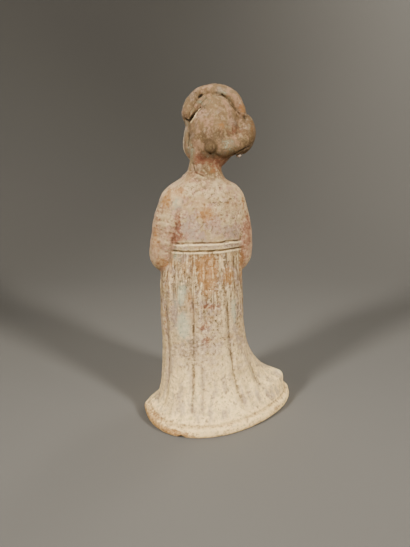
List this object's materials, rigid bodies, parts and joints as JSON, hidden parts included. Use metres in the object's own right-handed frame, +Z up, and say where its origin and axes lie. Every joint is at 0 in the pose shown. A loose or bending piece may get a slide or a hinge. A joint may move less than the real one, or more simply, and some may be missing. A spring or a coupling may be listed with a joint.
{
  "type": "tomb attendant figure",
  "caption": "Moulded pottery tomb figure of a standing court lady with a side bun, a high waistband and a long pleated skirt that spreads to a trailing hem.",
  "frame": {"origin": "on the flat underside, under the middle of the neck", "axes": "+Z up along the figure, -Y the way the face looks, +X to the figure's own left"},
  "size_m": [0.1403, 0.1113, 0.2787],
  "materials": {
    "pottery": "unglazed, matt, with worn slip and burial dirt"
  },
  "bodies": {
    "root": {"figure": "pottery"}
  },
  "joints": []
}
